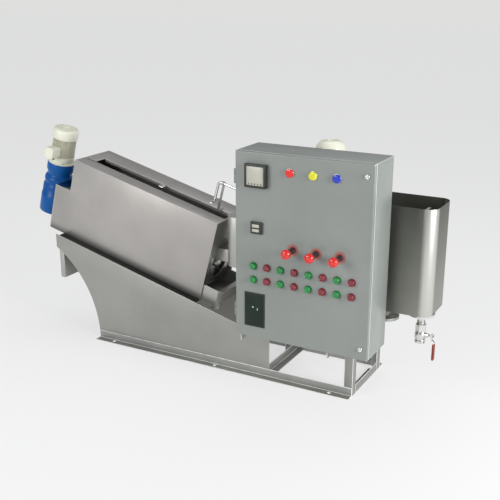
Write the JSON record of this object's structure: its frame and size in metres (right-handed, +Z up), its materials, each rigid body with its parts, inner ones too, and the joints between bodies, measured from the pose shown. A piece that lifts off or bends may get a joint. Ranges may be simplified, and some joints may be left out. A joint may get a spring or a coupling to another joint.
{
  "type": "sludge dewatering screw press",
  "caption": "Fixed screw press: inclined ring drum in a slotted casing with a geared motor, feed, mixing and metering tanks on an angle frame, and a control cabinet.",
  "frame": {"origin": "centre of the base frame's anchor bolt rectangle, on the floor", "axes": "+Z up; +X along the base frame from the drive towards the tanks; -Y towards the control cabinet's front"},
  "size_m": [2.1848, 0.661, 1.083],
  "materials": {
    "frame_steel": "satin",
    "cheek_steel": "satin",
    "stainless": "satin",
    "cover_steel": "brushed",
    "drum_steel": "satin",
    "tank_steel": "brushed",
    "gear_blue": "gloss",
    "motor_cream": "satin",
    "bright_pipe": "polished",
    "grip_red": "satin",
    "cabinet_paint": "satin",
    "zinc_plate": "satin",
    "meter_black": "matte",
    "lamp_lens": "gloss",
    "button_cap": "gloss",
    "stop_red": "gloss",
    "collar_black": "gloss",
    "window_dark": "gloss"
  },
  "bodies": {
    "press": {"agitator_gearbox": "gear_blue", "agitator_motor": "motor_cream", "body_bearers": "stainless", "cabinet_arms": "frame_steel", "cabinet_hinges": "zinc_plate", "cabinet_shelf": "frame_steel", "cabinet_shell": "cabinet_paint", "cake_chute": "stainless", "cross_rails": "frame_steel", "drain_valve": "bright_pipe", "drive_motor": "motor_cream", "drum_flanges": "drum_steel", "drum_rings": "drum_steel", "fan_cowl": "motor_cream", "feed_box": "stainless", "feed_duct": "stainless", "feed_lid": "stainless", "filtrate_tray": "stainless", "flocculation_tank": "stainless", "front_cheek": "cheek_steel", "front_cover": "cover_steel", "front_posts": "frame_steel", "front_rail": "frame_steel", "gearbox": "gear_blue", "lower_end_plate": "stainless", "metering_tank": "tank_steel", "mounting_plate": "zinc_plate", "outlet_nozzle": "stainless", "pipe_stay": "stainless", "rear_cheek": "cheek_steel", "rear_cover": "cover_steel", "rear_posts": "frame_steel", "rear_rail": "frame_steel", "rinse_pipe": "bright_pipe", "screw": "drum_steel", "tank_bearers": "frame_steel", "tank_lid": "stainless", "tank_straps": "frame_steel", "terminal_box": "motor_cream", "tie_rods": "drum_steel", "tray_ends": "stainless", "tray_outlet": "stainless", "tray_sides": "stainless", "upper_end_plate": "stainless", "weir_plate": "stainless"},
    "cabinet_front": {"cabinet_door": "cabinet_paint", "door_hinges": "zinc_plate", "panel_meter": "meter_black", "panel_gauge": "meter_black", "pilot_lamps": "lamp_lens", "push_buttons": "button_cap", "stop_collars": "collar_black", "window_plate": "window_dark", "door_locks": "bright_pipe"},
    "drain_lever": {"valve_handle": "bright_pipe", "lever_grip": "grip_red"},
    "stop_left": {"stop_head_left": "stop_red"},
    "stop_middle": {"stop_head_middle": "stop_red"},
    "stop_right": {"stop_head_right": "stop_red"}
  },
  "joints": [
    {"name": "door_swing", "type": "hinge", "parent": "press", "child": "cabinet_front", "pos_m": [0.211, -0.3505, 0.679], "axis": [0, 0, -1], "range_deg": [0, 120]},
    {"name": "valve_turn", "type": "hinge", "parent": "press", "child": "drain_lever", "pos_m": [0.96, -0.045, 0.301], "axis": [1, 0, 0], "range_deg": [0, 90]},
    {"name": "stop_press_left", "type": "slide", "parent": "cabinet_front", "child": "stop_left", "axis": [0, 1, 0], "range_m": [0, 0.004], "stiffness_N_per_m": 600},
    {"name": "stop_press_middle", "type": "slide", "parent": "cabinet_front", "child": "stop_middle", "axis": [0, 1, 0], "range_m": [0, 0.004], "stiffness_N_per_m": 600},
    {"name": "stop_press_right", "type": "slide", "parent": "cabinet_front", "child": "stop_right", "axis": [0, 1, 0], "range_m": [0, 0.004], "stiffness_N_per_m": 600}
  ]
}
